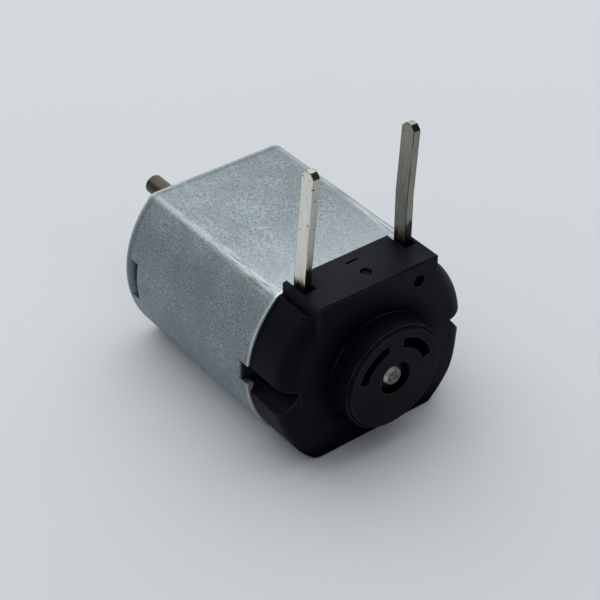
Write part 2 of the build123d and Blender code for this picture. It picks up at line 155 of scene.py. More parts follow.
gouges = add(tree, "MapRange", {0: draw_lines, 1: 0.46, 2: 0.34, 4: 0.6})
lined_mask = add(tree, "Math", {0: corner_mask, 1: lined_share}, operation="MULTIPLY")
gouge_mask = add(tree, "Math", {0: lined_mask, 1: gouges}, operation="MULTIPLY")

# The sheared rim is bright, partly by a painted highlight; painted highlights lie on the rear of the flats
# and the front bend, painted shade behind the bend and to the right
rim_wander = 0.5 * mm
rim_edge, rim_core = can_rear + 0.62 * mm, can_rear + 0.3 * mm
flat_edge, flat_core = can_half_height - 0.3 * mm, can_half_height - 0.05 * mm
flat_highlight_start, flat_highlight_end = 0.55 * can_rear, 0.92 * can_rear
right_shade_reach = 6.0 * mm
bend_middle, bend_edge, bend_core = 0.55 * front_bend, 0.4 * front_bend, 0.1 * front_bend
line_middle, line_edge, line_core = front_bend + 0.25 * mm, 0.3 * mm, 0.05 * mm
ragged_rim = add(tree, "Math", {0: cloud, 1: rim_wander, 2: axes.outputs[1]}, operation="MULTIPLY_ADD")
# The sheared rim is brightened, partly by a painted highlight.
rim_highlight_mask = add(tree, "MapRange", {0: ragged_rim, 1: rim_edge, 2: rim_core, 4: 0.8})
grain_share = add(tree, "MapRange", {0: grain, 1: 0.38, 2: 0.62})
cloud_share = add(tree, "MapRange", {0: cloud, 1: 0.35, 2: 0.65, 4: 0.55})
# Painted shade: the plate is darkened towards the right.
right_shade_share = add(tree, "MapRange", {0: axes.outputs[0], 1: -right_shade_reach, 2: right_shade_reach, 4: 0.32})
flat_mask = add(tree, "MapRange", {0: upward, 1: flat_edge, 2: flat_core})
# Painted highlight: the rear of the top and bottom flats is made brighter.
flat_highlight_share = add(tree, "MapRange", {0: axes.outputs[1], 1: flat_highlight_start, 2: flat_highlight_end, 4: 0.42})
flat_highlight = add(tree, "Math", {0: flat_mask, 1: flat_highlight_share}, operation="MULTIPLY")
# Painted highlight on the front bend, and a painted line of shade just behind it.
bend_offset = add(tree, "Math", {0: axes.outputs[1], 1: bend_middle}, operation="ADD")
bend_distance = add(tree, "Math", {0: bend_offset}, operation="ABSOLUTE")
bend_highlight_mask = add(tree, "MapRange", {0: bend_distance, 1: bend_edge, 2: bend_core, 4: 0.45})
line_offset = add(tree, "Math", {0: axes.outputs[1], 1: line_middle}, operation="ADD")
line_distance = add(tree, "Math", {0: line_offset}, operation="ABSOLUTE")
bend_shade_line_mask = add(tree, "MapRange", {0: line_distance, 1: line_edge, 2: line_core, 4: 0.4})

# Painted shade lies on the sunk faces of the stops, and on the tabs from their roots
sunk_edge, sunk_core = can_radius - 0.06 * mm, can_radius - 0.4 * mm
stop_fade = 0.1 * mm
stop_start = -front_bend - 0.1 * mm, -front_bend - 0.3 * mm
tab_side_fade = 0.12 * mm
tab_root_fade = 0.45 * mm
level_place = add(tree, "CombineXYZ", {0: axes.outputs[0], 2: axes.outputs[2]})
off_axis = add(tree, "VectorMath", {0: level_place}, operation="LENGTH")
sunk = add(tree, "MapRange", {0: off_axis, 1: sunk_edge, 2: sunk_core, 4: 0.92})
stop_height_mask = add(tree, "MapRange", {0: upward, 1: stop_half_height + stop_fade, 2: stop_half_height})
stop_start_mask = add(tree, "MapRange", {0: axes.outputs[1], 1: stop_start[0], 2: stop_start[1]})
stop_end_mask = add(tree, "MapRange", {0: axes.outputs[1], 1: stop_edge - stop_fade, 2: stop_edge})
stop_across = add(tree, "Math", {0: sunk, 1: stop_height_mask}, operation="MULTIPLY")
stop_along = add(tree, "Math", {0: stop_start_mask, 1: stop_end_mask}, operation="MULTIPLY")
stop_mask = add(tree, "Math", {0: stop_across, 1: stop_along}, operation="MULTIPLY")
tab_offset = add(tree, "Math", {0: axes.outputs[2], 1: tab_lift}, operation="SUBTRACT")
tab_distance = add(tree, "Math", {0: tab_offset}, operation="ABSOLUTE")
tab_side_band = {0: tab_distance, 1: tab_half_height + tab_side_fade, 2: tab_half_height}
tab_side_mask = add(tree, "MapRange", tab_side_band)
tab_root_band = {0: axes.outputs[1], 1: tab_root, 2: tab_root - tab_root_fade, 4: 0.95}
tab_root_mask = add(tree, "MapRange", tab_root_band)
tab_mask = add(tree, "Math", {0: tab_side_mask, 1: tab_root_mask}, operation="MULTIPLY")
# Painted shade: the stops and tabs are darkened where they sink into the can.
stop_and_tab_shade_mask = add(tree, "Math", {0: stop_mask, 1: tab_mask}, operation="MAXIMUM")

# Each shade is laid over the last, where its mask is 1
can_colour = add(tree, "Mix", {0: grain_share, 6: linear("#717B80"), 7: linear("#A9B4B8")}, data_type="RGBA")
# Painted shade: the right side, the line behind the bend, the stops and tabs. Painted highlights: the flats'
# rear, the bend, the rim, partly the corners.
can_shades = (
    (cloud_share, "#7E878A"),
    (right_shade_share, "#5A6367"),
    (flat_highlight, "#B2BBBE"),
    (scratch_mask, "#B4BBBD"),
    (rubbed_and_highlit_corner, "#C3C9CA"),
    (gouge_mask, "#3F484C"),
    (rim_highlight_mask, "#D3D9DA"),
    (bend_highlight_mask, "#C9D0D2"),
    (bend_shade_line_mask, "#4E575B"),
    (stop_and_tab_shade_mask, "#15191D"),
)
for mask, shade in can_shades:
    can_colour = add(tree, "Mix", {0: mask, 6: can_colour, 7: linear(shade)}, data_type="RGBA")
can_roughness = add(tree, "MapRange", {0: grain, 1: 0.3, 2: 0.7, 3: 0.68, 4: 0.54})
relief = add(tree, "Math", {0: draw_lines, 1: lined_mask}, operation="MULTIPLY")
height = add(tree, "Math", {0: relief, 1: draw_line_depth, 2: grain}, operation="MULTIPLY_ADD")
soft_edge = add(tree, "Bevel", {"Radius": 0.1 * mm})
bump = add(tree, "Bump", {"Height": height, "Distance": 0.013 * mm, "Normal": soft_edge})
zinc_feeds = {"Base Color": can_colour, "Metallic": 1.0, "Roughness": can_roughness, "Normal": bump}
zinc_shader = add(tree, "BsdfPrincipled", zinc_feeds)
add(tree, "OutputMaterial", {"Surface": zinc_shader})
dress(zinc_plate, "housing_can")

# Bearings: two plain bushes of sintered bronze powder, one pressed into the can's boss and one into the
# cover's. They are soaked in oil, which the pores give up to the shaft.
# Sintered bronze: dull brown-yellow metal, freckled with open pores that are dark with oil.
sintered_bronze, tree, place = start_finish("sintered_bronze")
pore_spacing = 0.16 * mm  # the real pores are finer, and would not show
tarnish_size = 1.2 * mm
pores = add(tree, "TexVoronoi", {"Vector": place, "Scale": 1 / pore_spacing})
pore_mask = add(tree, "MapRange", {0: pores.outputs["Distance"], 1: 0.18, 2: 0.36, 3: 1.0, 4: 0.0})
tarnish = add(tree, "TexNoise", {"Vector": place, "Scale": 1 / tarnish_size, "Detail": 3.0})
bronze_colour = add(tree, "Mix", {0: tarnish, 6: linear("#4A3F2C"), 7: linear("#6E5D42")}, data_type="RGBA")
porous_colour = add(tree, "Mix", {0: pore_mask, 6: bronze_colour, 7: linear("#2C2215")}, data_type="RGBA")
bronze_roughness = add(tree, "MapRange", {0: tarnish, 1: 0.3, 2: 0.7, 3: 0.38, 4: 0.55})
soft_edge = add(tree, "Bevel", {"Radius": 0.06 * mm})
bump = add(tree, "Bump", {"Height": pore_mask, "Distance": 0.01 * mm, "Normal": soft_edge}, invert=True)
bronze_feeds = {"Base Color": porous_colour, "Metallic": 1.0, "Roughness": bronze_roughness, "Normal": bump}
bronze_shader = add(tree, "BsdfPrincipled", bronze_feeds)
add(tree, "OutputMaterial", {"Surface": bronze_shader})
dress(sintered_bronze, "front_bearing", "rear_bearing")

# Magnets: two arcs of sintered ferrite, seated on the can's flanks behind the lanced stops.
# They are pressed and fired like a ceramic, and their faces are ground to size.
# Ferrite: charcoal grey and stony, with a speckle of coarser grains and faint grinding lines along the arc.
ferrite, tree, place = start_finish("ferrite")
speckle_size = 0.18 * mm  # the real grains are finer, and would not show
grind_width = 0.2 * mm
grind_length = 5.0 * mm
speckle_feeds = {"Vector": place, "Scale": 1 / speckle_size, "Detail": 4.0, "Roughness": 0.75}
speckle = add(tree, "TexNoise", speckle_feeds)
along_grind = {"Vector": place, "Scale": (1 / grind_width, 1 / grind_length, 1 / grind_width)}
grind_place = add(tree, "Mapping", along_grind)
grind = add(tree, "TexNoise", {"Vector": grind_place, "Scale": 1.0, "Detail": 2.0})
speckle_share = add(tree, "MapRange", {0: speckle, 1: 0.38, 2: 0.7})
ferrite_mix = {0: speckle_share, 6: linear("#2B2B2E"), 7: linear("#505155")}
ferrite_colour = add(tree, "Mix", ferrite_mix, data_type="RGBA")
ferrite_roughness = add(tree, "MapRange", {0: grind, 1: 0.3, 2: 0.7, 3: 0.45, 4: 0.68})
stone_height = add(tree, "Math", {0: grind, 1: speckle}, operation="ADD")
soft_edge = add(tree, "Bevel", {"Radius": 0.15 * mm})
bump = add(tree, "Bump", {"Height": stone_height, "Distance": 0.01 * mm, "Normal": soft_edge})
ferrite_feeds = {"Base Color": ferrite_colour, "Roughness": ferrite_roughness, "Normal": bump}
ferrite_shader = add(tree, "BsdfPrincipled", ferrite_feeds)
add(tree, "OutputMaterial", {"Surface": ferrite_shader})
dress(ferrite, "magnet_left", "magnet_right")

# Magnet clip: a hairpin bent from spring wire, sprung between the lower ends of the two magnets.
# Drawn spring steel: grey and fairly bright, with die lines along the wire and a few brown heat stains.
spring_steel, tree, place = start_finish("spring_steel")
die_line_width = 0.07 * mm
die_line_length = 4.0 * mm
stain_size = 2.5 * mm
along_wire = {"Vector": place, "Scale": (1 / die_line_width, 1 / die_line_length, 1 / die_line_width)}
wire_place = add(tree, "Mapping", along_wire)
die_lines = add(tree, "TexNoise", {"Vector": wire_place, "Scale": 1.0, "Detail": 2.0})
stains = add(tree, "TexNoise", {"Vector": place, "Scale": 1 / stain_size, "Detail": 3.0})
stain_share = add(tree, "MapRange", {0: stains, 1: 0.5, 2: 0.72, 4: 0.6})
wire_colour = add(tree, "Mix", {0: die_lines, 6: linear("#74777A"), 7: linear("#B4B7B9")}, data_type="RGBA")
stain_colour = add(tree, "Mix", {0: stain_share, 6: wire_colour, 7: linear("#6B5B49")}, data_type="RGBA")
wire_roughness = add(tree, "MapRange", {0: die_lines, 1: 0.3, 2: 0.7, 3: 0.24, 4: 0.42})
bump = add(tree, "Bump", {"Height": die_lines, "Distance": 0.006 * mm})
spring_feeds = {"Base Color": stain_colour, "Metallic": 1.0, "Roughness": wire_roughness, "Normal": bump}
spring_shader = add(tree, "BsdfPrincipled", spring_feeds)
add(tree, "OutputMaterial", {"Surface": spring_shader})
dress(spring_steel, "magnet_clip")

# End cover: one moulding of glass-filled black nylon, pressed into the rear of the can and held by the
# staking tabs. It carries the rear bearing, the brush gear and the two terminals.
# Moulded nylon: satin black with a faint spark-eroded skin and a cold, weak gloss, duller in its recesses,
# where painted shade blackens it, and paler along its edges by a painted highlight.
black_nylon, tree, place = start_finish("black_nylon")
skin_grain = 0.2 * mm  # the real texture is finer, and would not show
flow_size = 4.0 * mm
recess_reach = 3.0 * mm
recess_dulling = 0.4
skin = add(tree, "TexNoise", {"Vector": place, "Scale": 1 / skin_grain, "Detail": 3.0, "Roughness": 0.6})
flow = add(tree, "TexNoise", {"Vector": place, "Scale": 1 / flow_size, "Detail": 2.0})
skin_share = add(tree, "MapRange", {0: skin, 1: 0.35, 2: 0.65})
skin_colour = add(tree, "Mix", {0: skin_share, 6: linear("#07070C"), 7: linear("#0C0C14")}, data_type="RGBA")
openness = add(tree, "AmbientOcclusion", {"Distance": recess_reach}, samples=8)
# Painted shade: the colour is blackened where ambient occlusion finds a recess, and the same mask dulls the
# gloss.
recess_shade_and_dulling = add(tree, "MapRange", {0: openness.outputs["AO"], 1: 0.92, 2: 0.6})
cover_colour = add(tree, "Mix", {0: recess_shade_and_dulling, 6: skin_colour, 7: linear("#010102")}, data_type="RGBA")
flow_roughness = add(tree, "MapRange", {0: flow, 1: 0.3, 2: 0.7, 3: 0.48, 4: 0.58})
dulling_feeds = {0: recess_shade_and_dulling, 1: recess_dulling, 2: flow_roughness}
skin_roughness = add(tree, "Math", dulling_feeds, operation="MULTIPLY_ADD")
soft_edge = add(tree, "Bevel", {"Radius": 0.12 * mm})
face = add(tree, "NewGeometry", {})
roundness_feeds = {0: soft_edge, 1: face.outputs["Normal"]}
roundness = add(tree, "VectorMath", roundness_feeds, operation="DOT_PRODUCT")
edge_mask = add(tree, "MapRange", {0: roundness, 1: 0.995, 2: 0.93})
# Painted highlight: the edges are made paler in patches.
edge_highlight_share = add(tree, "MapRange", {0: flow, 1: 0.38, 2: 0.6, 3: 0.1, 4: 0.8})
edge_highlight = add(tree, "Math", {0: edge_mask, 1: edge_highlight_share}, operation="MULTIPLY")
edge_lit_colour = add(tree, "Mix", {0: edge_highlight, 6: cover_colour, 7: linear("#4A4B55")}, data_type="RGBA")
bump = add(tree, "Bump", {"Height": skin, "Distance": 0.006 * mm, "Normal": soft_edge})
nylon_feeds = {
    "Base Color": edge_lit_colour,
    "Roughness": skin_roughness,
    "Specular IOR Level": 0.1,
    "Specular Tint": linear("#C4D0FF"),
    "Normal": bump,
}
nylon_shader = add(tree, "BsdfPrincipled", nylon_feeds)
add(tree, "OutputMaterial", {"Surface": nylon_shader})

# Below the notches the moulding's flanks are full, with only a small rounding at the rear face.
# A skirt on each side gives them that form, joined to a merged copy of the CAD cover.
flank_radius = 10.3 * mm
cover_rear = -25.0 * mm
cover_foot = 7.65 * mm
upper_rear_radius = 1.6 * mm
lower_rear_radius = 0.6 * mm
shrinking_share = 0.6  # of the way down, over which the rear rounding shrinks
skirt_lap = 0.012 * mm  # the skirt stands proud by this much, so that no two faces coincide
skirt_front = can_rear - 0.05 * mm
notch_root = np.array([8.4, 0.9]) * mm
notch_lip = np.array([10.5, -1.85]) * mm
notch_run = (notch_lip - notch_root) / np.linalg.norm(notch_lip - notch_root)
notch_reach = float(notch_root @ np.array([-notch_run[1], notch_run[0]]))
notch_angle = np.arctan2(notch_run[0], -notch_run[1])
skirt_wall = ((8.4 * mm, cover_rear), (8.4 * mm, cover_rear + 0.8 * mm), (9.2 * mm, cover_rear + 1.4 * mm))
skirt_steps = 48
edge_steps = 14
edge_angle = np.radians(28)
merge_distance = 1e-7


def grid_mesh(name, points, material, joined):
    """Mesh of a grid of points whose rows are closed loops, with one smooth four-sided face per cell.

    The last row is joined to the first, or else each of the two gets a flat end face and steep edges
    stay sharp.
    """
    rows, columns = points.shape[:2]
    row, column = np.meshgrid(np.arange(rows if joined else rows - 1), np.arange(columns), indexing="ij")
    next_row, next_column = (row + 1) % rows, (column + 1) % columns
    loop = [(row, column), (row, next_column), (next_row, next_column), (next_row, column)]
    faces = np.stack([r * columns + c for r, c in loop], axis=-1).reshape(-1, 4).tolist()
    if not joined:
        numbers = np.arange(rows * columns).reshape(rows, columns)
        faces += [numbers[0, ::-1].tolist(), numbers[-1].tolist()]
    mesh = bpy.data.meshes.new(name)
    mesh.from_pydata(points.reshape(-1, 3), [], faces)
    mesh.polygons.foreach_set("use_smooth", np.ones(len(faces), bool))
    if not joined:
        mesh.set_sharp_from_angle(angle=edge_angle)
    mesh.materials.append(material)
    return mesh


def flank_skirt(side):
    """Surface of one flank's lower part: a profile of distance from the axis and depth, turned about it.

    The profile runs back along the flank, round a quarter circle and in along the rear face, and closes
    inside the wall. Downwards the quarter circle shrinks by the smooth step 3 s**2 - 2 s**3, and every
    point turns from where it leaves the notch's lower wall to where it reaches the foot.
    """
    down = np.linspace(0, 1, skirt_steps)[:, None]
    step = np.clip(down / shrinking_share, 0, 1)
    rear_radius = upper_rear_radius + (lower_rear_radius - upper_rear_radius) * (3 * step**2 - 2 * step**3)
    turn = np.linspace(0, np.pi / 2, edge_steps)
    outside, rear = flank_radius + skirt_lap, cover_rear - skirt_lap
    rounded = outside - rear_radius * (1 - np.cos(turn)), rear + rear_radius * (1 - np.sin(turn))
    wall = np.array(skirt_wall).T - np.array([[0.0], [skirt_lap]])
    level = np.ones_like(down)
    reach = np.concatenate([level * outside, rounded[0], level * wall[0], level * wall[0, -1]], axis=1)
    depth = np.concatenate([level * skirt_front, rounded[1], level * wall[1], level * skirt_front], axis=1)
    foot_angle = -np.arcsin((cover_foot - skirt_lap) / reach)
    lip_angle = notch_angle - np.arccos((notch_reach - skirt_lap) / reach)
    angle = lip_angle + (foot_angle - lip_angle) * down
    skirt = np.stack([side * reach * np.cos(angle), depth, reach * np.sin(angle)], axis=-1)
    return skirt[:, ::side]


merged = bmesh.new()
merged.from_mesh(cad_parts["end_cover"].data)
bmesh.ops.remove_doubles(merged, verts=merged.verts, dist=merge_distance)
plain_cover = bpy.data.meshes.new("plain_cover")
merged.to_mesh(plain_cover)
merged.free()
plain_cover.materials.append(black_nylon)
cover = bpy.data.objects.new("moulded_cover", plain_cover)
bpy.context.scene.collection.objects.link(cover)
skirts = []
for side in (-1, 1):
    skirt = bpy.data.objects.new("skirt", grid_mesh("skirt", flank_skirt(side), black_nylon, joined=False))
    bpy.context.scene.collection.objects.link(skirt)
    union = cover.modifiers.new("skirt", "BOOLEAN")
    union.operation, union.solver, union.object = "UNION", "EXACT", skirt
    skirts.append(skirt)
finished_cover = bpy.data.meshes.new_from_object(cover.evaluated_get(bpy.context.evaluated_depsgraph_get()))
cover.modifiers.clear()
for layer in [layer for layer in finished_cover.attributes if layer.name == "custom_normal"]:
    finished_cover.attributes.remove(layer)
finished_cover.polygons.foreach_set("use_smooth", np.ones(len(finished_cover.polygons), bool))
finished_cover.set_sharp_from_angle(angle=edge_angle)
cover.data = finished_cover
cover.modifiers.new("flat_faces", "WEIGHTED_NORMAL").keep_sharp = True
for skirt in skirts:
    bpy.data.objects.remove(skirt)
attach(cover, "stator")
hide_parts("end_cover")

# Terminals: two tags of brass strip, blanked, chamfered, tinned and pushed into the cover from inside.
# Tin over brass: soft silver-grey with a warm cast, scratched along its length and pitted with dark pores.
# The right tag is darker and duller than the left. Both are grey on the sheared faces, and blackened at the
# sheared tip and patches of the edges, and painted shade with a painted reflection of the black cover darkens
# the foot.
tinned_brass, tree, place = start_finish("tinned_brass")
pit_size = 0.45 * mm
tin_scratch_width = 0.1 * mm
tin_scratch_length = 3.0 * mm
stain_width = 0.3 * mm
stain_length = 2.2 * mm
tag_foot = 8.9 * mm
foot_edge, foot_core = tag_foot + 2.35 * mm, tag_foot + 1.75 * mm
foot_wander = 3.0 * mm
rear_foot_rise = 1.7 * mm
right_tag_fade = 1.0 * mm
tip_direction = (0.0, -0.70711, 0.70711)
pits = add(tree, "TexNoise", {"Vector": place, "Scale": 1 / pit_size, "Detail": 3.0, "Roughness": 0.6})
pit_mask = add(tree, "MapRange", {0: pits, 1: 0.665, 2: 0.70, 4: 0.9})
tag_scale = (1 / tin_scratch_width, 1 / tin_scratch_width, 1 / tin_scratch_length)
tag_place = add(tree, "Mapping", {"Vector": place, "Scale": tag_scale})
tag_lines = add(tree, "TexNoise", {"Vector": tag_place, "Scale": 1.0, "Detail": 2.0})
along_stain = {"Vector": place, "Scale": (1 / stain_width, 1 / stain_width, 1 / stain_length)}
stain_place = add(tree, "Mapping", along_stain)
stains = add(tree, "TexNoise", {"Vector": stain_place, "Scale": 1.0, "Detail": 3.0})
stain_mask = add(tree, "MapRange", {0: stains, 1: 0.40, 2: 0.52, 4: 0.9})
soft_edge = add(tree, "Bevel", {"Radius": 0.16 * mm}, samples=8)
face = add(tree, "NewGeometry", {})
roundness_feeds = {0: soft_edge, 1: face.outputs["Normal"]}
roundness = add(tree, "VectorMath", roundness_feeds, operation="DOT_PRODUCT")
edge_mask = add(tree, "MapRange", {0: roundness, 1: 0.995, 2: 0.94})
edge_stain = add(tree, "Math", {0: edge_mask, 1: stain_mask}, operation="MULTIPLY")
tip_facing = {0: face.outputs["Normal"], 1: tip_direction}
sheared_tip = add(tree, "VectorMath", tip_facing, operation="DOT_PRODUCT")
tip_mask = add(tree, "MapRange", {0: sheared_tip, 1: 0.84, 2: 0.93, 4: 0.95})
axes = add(tree, "SeparateXYZ", {0: place})
facings = add(tree, "SeparateXYZ", {0: face.outputs["Normal"]})
# Painted shade and a painted reflection of the black cover darken the foot, higher on its rear face.
rear_share = add(tree, "MapRange", {0: facings.outputs[1], 1: -0.5, 2: -0.8, 4: rear_foot_rise})
low_side = add(tree, "Math", {0: axes.outputs[2], 1: rear_share}, operation="SUBTRACT")
ragged = add(tree, "Math", {0: stains, 1: foot_wander, 2: low_side}, operation="MULTIPLY_ADD")
foot_shade_mask = add(tree, "MapRange", {0: ragged, 1: foot_edge, 2: foot_core, 4: 0.93})
# The right tag is drawn darker and duller than the left.
right_tag_share = add(tree, "MapRange", {0: axes.outputs[0], 1: -right_tag_fade, 2: right_tag_fade, 4: 0.92})
tin_colour = add(tree, "Mix", {0: tag_lines, 6: linear("#D2D2C8"), 7: linear("#F8F7EC")}, data_type="RGBA")
dull_mix = {0: stains, 6: linear("#64645A"), 7: linear("#A3A092")}
dull_colour = add(tree, "Mix", dull_mix, data_type="RGBA")
tag_colour = add(tree, "Mix", {0: right_tag_share, 6: tin_colour, 7: dull_colour}, data_type="RGBA")
top_mask = add(tree, "MapRange", {0: facings.outputs[2], 1: 0.85, 2: 0.95, 4: 0.75})
sideways = add(tree, "Math", {0: facings.outputs[1]}, operation="ABSOLUTE")
shear_share = add(tree, "MapRange", {0: sideways, 1: 0.7, 2: 0.9, 4: 0.5})
dark_one = add(tree, "Math", {0: pit_mask, 1: edge_stain}, operation="MAXIMUM")
dark_two = add(tree, "Math", {0: tip_mask, 1: foot_shade_mask}, operation="MAXIMUM")
dark_mask = add(tree, "Math", {0: dark_one, 1: dark_two}, operation="MAXIMUM")
for mask, shade in ((shear_share, "#7E7C70"), (top_mask, "#8C8B80"), (dark_mask, "#1F1C17")):
    tag_colour = add(tree, "Mix", {0: mask, 6: tag_colour, 7: linear(shade)}, data_type="RGBA")
tin_roughness = add(tree, "MapRange", {0: pits, 1: 0.3, 2: 0.7, 3: 0.34, 4: 0.5})
tin_height = add(tree, "Math", {0: tag_lines, 1: pits}, operation="SUBTRACT")
bump = add(tree, "Bump", {"Height": tin_height, "Distance": 0.01 * mm, "Normal": soft_edge})
tin_feeds = {"Base Color": tag_colour, "Metallic": 1.0, "Roughness": tin_roughness, "Normal": bump}
tin_shader = add(tree, "BsdfPrincipled", tin_feeds)
add(tree, "OutputMaterial", {"Surface": tin_shader})
dress(tinned_brass, "terminal_right")

# The left tag has been bent back in handling, so it is drawn anew, as thick, wide and long as the CAD tag.
tag_side = -5.504 * mm
tag_middle = -21.325 * mm
tag_half_thickness = 0.35 * mm
tag_half_width = 0.775 * mm
shoulder_half_width = 1.2 * mm
shoulder_foot = 4.3 * mm
shoulder_slope = (5.6 * mm, 5.8 * mm)
tag_bend = 9.5 * mm
bend_softness = 0.6 * mm
tag_tip = 20.7 * mm
tip_chamfer = 0.45 * mm
tag_edge = 0.06 * mm
tip_shift = (0.26 * mm, -0.82 * mm)
tag_levels = 40
tag_columns = 64


def rounded_loop(half_length, half_width, corner_radius, turn):
    """Points round a rectangle with rounded corners: each corner's centre plus its radius along the turn.

    The turn runs 0 to 1 in equal shares of four corners and four straight sides, so that two such loops of
    different size can be joined point by point.
    """
    eighth = turn * 8
    leg = np.floor(eighth).astype(int) % 8
    share = eighth - np.floor(eighth)
    quarter = leg // 2
    on_corner = leg % 2 == 0
    angle = (quarter + np.where(on_corner, share, 1.0)) * np.pi / 2
    sign_x = np.array([1, -1, -1, 1])
    sign_y = np.array([1, 1, -1, -1])
    after = (quarter + 1) % 4
    reach = np.stack([half_length - corner_radius + 0 * turn, half_width - corner_radius + 0 * turn])
    here = np.stack([sign_x[quarter], sign_y[quarter]]) * reach
    there = np.stack([sign_x[after], sign_y[after]]) * reach
    centre = np.where(on_corner, here, here + (there - here) * share)
    return centre + corner_radius * np.stack([np.cos(angle), np.sin(angle)])


def leaning_tag(level, half_width):
    """Surface of the left tag: a rounded rectangle at each level, shifted in proportion to the lean.

    The lean is a soft ramp, h + sqrt(h**2 + softness**2) for a height h above the bend, as a share of the
    ramp at the tip.
    """
    above = np.array([level - tag_bend, np.full_like(level, tag_tip - tag_bend)])
    ramp = above + np.sqrt(above**2 + bend_softness**2)
    lean = (ramp[0] / ramp[1])[:, None]
    around = np.arange(tag_columns)[None, :] / tag_columns
    loop = rounded_loop(tag_half_thickness, half_width[:, None], tag_edge, around + 0 * lean)
    x = tag_side + tip_shift[0] * lean + loop[0]
    y = tag_middle + tip_shift[1] * lean + loop[1]
    return np.stack([x, y, level[:, None] + 0 * around], axis=-1)


shank = np.linspace(shoulder_slope[1], tag_tip - tip_chamfer, tag_levels)
level = np.concatenate([[shoulder_foot, shoulder_slope[0]], shank, [tag_tip]])
tag_width = np.full_like(shank, tag_half_width)
half_width = np.concatenate([[shoulder_half_width] * 2, tag_width, [tag_half_width - tip_chamfer]])
tag_mesh = grid_mesh("bent_tag", leaning_tag(level, half_width), tinned_brass, joined=False)
tag = bpy.data.objects.new("bent_tag", tag_mesh)
bpy.context.scene.collection.objects.link(tag)
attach(tag, "stator")
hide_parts("terminal_left")

# Brush arms: two leaf springs, blanked and bent from bronze strip and fixed to the feet of the terminals.
# Rolled phosphor bronze: warm golden metal with rolling lines along the strip and a light brown tarnish.
phosphor_bronze, tree, place = start_finish("phosphor_bronze")
roll_width = 0.08 * mm
roll_length = 3.0 * mm
bloom_size = 1.6 * mm
along_strip = {"Vector": place, "Scale": (1 / roll_length, 1 / roll_width, 1 / roll_length)}
strip_place = add(tree, "Mapping", along_strip)
roll_lines = add(tree, "TexNoise", {"Vector": strip_place, "Scale": 1.0, "Detail": 2.0})
bloom = add(tree, "TexNoise", {"Vector": place, "Scale": 1 / bloom_size, "Detail": 3.0})
bloom_share = add(tree, "MapRange", {0: bloom, 1: 0.42, 2: 0.7, 4: 0.55})
strip_colour = add(tree, "Mix", {0: roll_lines, 6: linear("#B48A4C"), 7: linear("#DDB877")}, data_type="RGBA")
bloom_colour = add(tree, "Mix", {0: bloom_share, 6: strip_colour, 7: linear("#8A6237")}, data_type="RGBA")
strip_roughness = add(tree, "MapRange", {0: roll_lines, 1: 0.3, 2: 0.7, 3: 0.24, 4: 0.4})
soft_edge = add(tree, "Bevel", {"Radius": 0.04 * mm})
bump = add(tree, "Bump", {"Height": roll_lines, "Distance": 0.005 * mm, "Normal": soft_edge})
strip_feeds = {"Base Color": bloom_colour, "Metallic": 1.0, "Roughness": strip_roughness, "Normal": bump}
strip_shader = add(tree, "BsdfPrincipled", strip_feeds)
add(tree, "OutputMaterial", {"Surface": strip_shader})
dress(phosphor_bronze, "brush_arm_left", "brush_arm_right")

# Carbon brushes: two small blocks of pressed carbon and copper powder, held on the arms against the bars.
# Pressed carbon: dull black with a grey graphite sheen and scattered specks of copper.
carbon, tree, place = start_finish("carbon")
carbon_grain = 0.15 * mm  # the real powder is finer, and would not show
fleck_spacing = 0.22 * mm
powder = add(tree, "TexNoise", {"Vector": place, "Scale": 1 / carbon_grain, "Detail": 3.0, "Roughness": 0.7})
flecks = add(tree, "TexVoronoi", {"Vector": place, "Scale": 1 / fleck_spacing})
fleck_mask = add(tree, "MapRange", {0: flecks.outputs["Distance"], 1: 0.12, 2: 0.2, 3: 1.0, 4: 0.0})
powder_share = add(tree, "MapRange", {0: powder, 1: 0.35, 2: 0.68})
powder_mix = {0: powder_share, 6: linear("#161618"), 7: linear("#37373A")}
powder_colour = add(tree, "Mix", powder_mix, data_type="RGBA")
fleck_colour = add(tree, "Mix", {0: fleck_mask, 6: powder_colour, 7: linear("#9A5D3C")}, data_type="RGBA")
carbon_roughness = add(tree, "MapRange", {0: powder, 1: 0.3, 2: 0.7, 3: 0.36, 4: 0.6})
soft_edge = add(tree, "Bevel", {"Radius": 0.06 * mm})
bump = add(tree, "Bump", {"Height": powder, "Distance": 0.008 * mm, "Normal": soft_edge})
carbon_feeds = {
    "Base Color": fleck_colour,
    "Metallic": fleck_mask,
    "Roughness": carbon_roughness,
    "Normal": bump,
}
carbon_shader = add(tree, "BsdfPrincipled", carbon_feeds)
add(tree, "OutputMaterial", {"Surface": carbon_shader})
dress(carbon, "carbon_brush_left", "carbon_brush_right")

# Shaft: a ground steel pin through the whole motor, running in the two bearings.
# Ground steel under a film of oil: dark and brownish at the output end, brighter at the rear end face.
shaft_steel, tree, place = start_finish("shaft_steel")
grind_pitch = 0.12 * mm  # the real grinding lines are finer, and would not show
shaft_grip = 2.0 * mm
oil_blot = 1.5 * mm
end_mottle = 0.3 * mm
end_edge, end_core = 0.82 * mm, 0.68 * mm
oil_start = 1.0 * mm
axes = add(tree, "SeparateXYZ", {0: place})
around_shaft = {"Vector": place, "Scale": (1 / shaft_grip, 1 / grind_pitch, 1 / shaft_grip)}
grind_place = add(tree, "Mapping", around_shaft)
grind_lines = add(tree, "TexNoise", {"Vector": grind_place, "Scale": 1.0, "Detail": 2.0})
blots = add(tree, "TexNoise", {"Vector": place, "Scale": 1 / oil_blot, "Detail": 3.0})
oil_share = add(tree, "MapRange", {0: axes.outputs[1], 1: can_rear, 2: oil_start})
steel_mix = {0: grind_lines, 6: linear("#8A8A88"), 7: linear("#BDBDBA")}
steel_colour = add(tree, "Mix", steel_mix, data_type="RGBA")
oil_colour = add(tree, "Mix", {0: blots, 6: linear("#37342E"), 7: linear("#524D44")}, data_type="RGBA")
